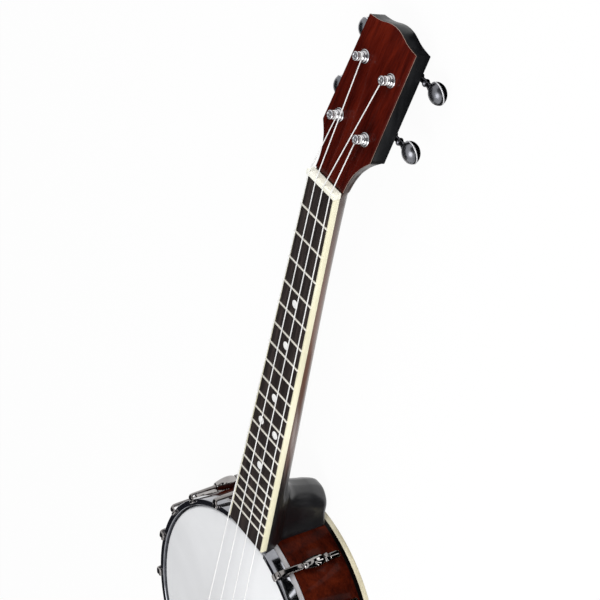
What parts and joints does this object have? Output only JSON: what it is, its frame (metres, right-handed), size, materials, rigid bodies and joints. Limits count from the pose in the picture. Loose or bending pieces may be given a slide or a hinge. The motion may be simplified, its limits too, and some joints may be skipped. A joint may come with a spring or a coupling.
{
  "type": "banjo ukulele",
  "caption": "Small banjo-bodied ukulele with a drum head stretched over a wooden pot by bracket hooks, a fretted neck and geared tuners.",
  "frame": {"origin": "on the surface that the instrument lies on, under the middle of its outline seen from above", "axes": "+Z out of the drum head, +Y from the pot towards the headstock, +X towards the first string's side"},
  "size_m": [0.2154, 0.6338, 0.0758],
  "materials": {
    "rim_wood": "glossy lacquered mahogany",
    "cream_binding": "glossy cream celluloid",
    "drum_film": "white coated polyester film on an aluminium hoop",
    "hoop_metal": "polished chrome",
    "tone_metal": "turned brass",
    "bracket_metal": "polished nickel plate",
    "neck_wood": "black satin lacquer over mahogany",
    "veneer_wood": "glossy reddish brown veneer",
    "board_wood": "oiled dark fingerboard",
    "nut_bone": "polished bone white",
    "string_nylon": "clear nylon",
    "tuner_metal": "polished nickel plate",
    "button_metal": "bright polished metal",
    "bridge_wood": "plain maple"
  },
  "bodies": {
    "root": {"rim": "rim_wood", "rim_binding": "cream_binding", "tone_ring": "tone_metal", "drum_head": "drum_film", "tension_hoop": "hoop_metal", "neck": "neck_wood", "headstock_veneer": "veneer_wood", "fingerboard": "board_wood", "nut": "nut_bone", "bridge": "bridge_wood", "tailpiece": "hoop_metal", "coordinator_rod": "bracket_metal", "hook_01": "hoop_metal", "shoe_01": "bracket_metal", "hook_02": "hoop_metal", "shoe_02": "bracket_metal", "hook_03": "hoop_metal", "shoe_03": "bracket_metal", "hook_04": "hoop_metal", "shoe_04": "bracket_metal", "hook_05": "hoop_metal", "shoe_05": "bracket_metal", "hook_06": "hoop_metal", "shoe_06": "bracket_metal", "hook_07": "hoop_metal", "shoe_07": "bracket_metal", "hook_08": "hoop_metal", "shoe_08": "bracket_metal", "hook_09": "hoop_metal", "shoe_09": "bracket_metal", "hook_10": "hoop_metal", "shoe_10": "bracket_metal", "hook_11": "hoop_metal", "shoe_11": "bracket_metal", "hook_12": "hoop_metal", "shoe_12": "bracket_metal", "hook_13": "hoop_metal", "shoe_13": "bracket_metal", "hook_14": "hoop_metal", "shoe_14": "bracket_metal", "hook_15": "hoop_metal", "shoe_15": "bracket_metal", "hook_16": "hoop_metal", "shoe_16": "bracket_metal", "housing_g": "tuner_metal", "string_g": "string_nylon", "housing_c": "tuner_metal", "string_c": "string_nylon", "housing_e": "tuner_metal", "string_e": "string_nylon", "housing_a": "tuner_metal", "string_a": "string_nylon"},
    "button_g": {"button_g": "button_metal"},
    "post_g": {"post_g": "tuner_metal"},
    "button_c": {"button_c": "button_metal"},
    "post_c": {"post_c": "tuner_metal"},
    "button_e": {"button_e": "button_metal"},
    "post_e": {"post_e": "tuner_metal"},
    "button_a": {"button_a": "button_metal"},
    "post_a": {"post_a": "tuner_metal"}
  },
  "joints": [
    {"name": "button_g_turn", "type": "hinge", "parent": "root", "child": "button_g", "pos_m": [-0.0149, 0.24562, 0.02078], "axis": [1, 0, 0], "continuous": true},
    {"name": "post_g_turn", "type": "hinge", "parent": "root", "child": "post_g", "pos_m": [-0.0149, 0.2442, 0.03986], "axis": [0, 0.2689, 0.9632], "continuous": true},
    {"name": "button_c_turn", "type": "hinge", "parent": "root", "child": "button_c", "pos_m": [-0.0149, 0.28867, 0.00876], "axis": [1, 0, 0], "continuous": true},
    {"name": "post_c_turn", "type": "hinge", "parent": "root", "child": "post_c", "pos_m": [-0.0149, 0.28725, 0.02784], "axis": [0, 0.2689, 0.9632], "continuous": true},
    {"name": "button_e_turn", "type": "hinge", "parent": "root", "child": "button_e", "pos_m": [0.0149, 0.28867, 0.00876], "axis": [1, 0, 0], "continuous": true},
    {"name": "post_e_turn", "type": "hinge", "parent": "root", "child": "post_e", "pos_m": [0.0149, 0.28725, 0.02784], "axis": [0, 0.2689, 0.9632], "continuous": true},
    {"name": "button_a_turn", "type": "hinge", "parent": "root", "child": "button_a", "pos_m": [0.0149, 0.24562, 0.02078], "axis": [1, 0, 0], "continuous": true},
    {"name": "post_a_turn", "type": "hinge", "parent": "root", "child": "post_a", "pos_m": [0.0149, 0.2442, 0.03986], "axis": [0, 0.2689, 0.9632], "continuous": true}
  ],
  "couplings": [
    {"joint": "post_g_turn", "follows": "button_g_turn", "ratio": 0.083333},
    {"joint": "post_c_turn", "follows": "button_c_turn", "ratio": 0.083333},
    {"joint": "post_e_turn", "follows": "button_e_turn", "ratio": 0.083333},
    {"joint": "post_a_turn", "follows": "button_a_turn", "ratio": 0.083333}
  ]
}
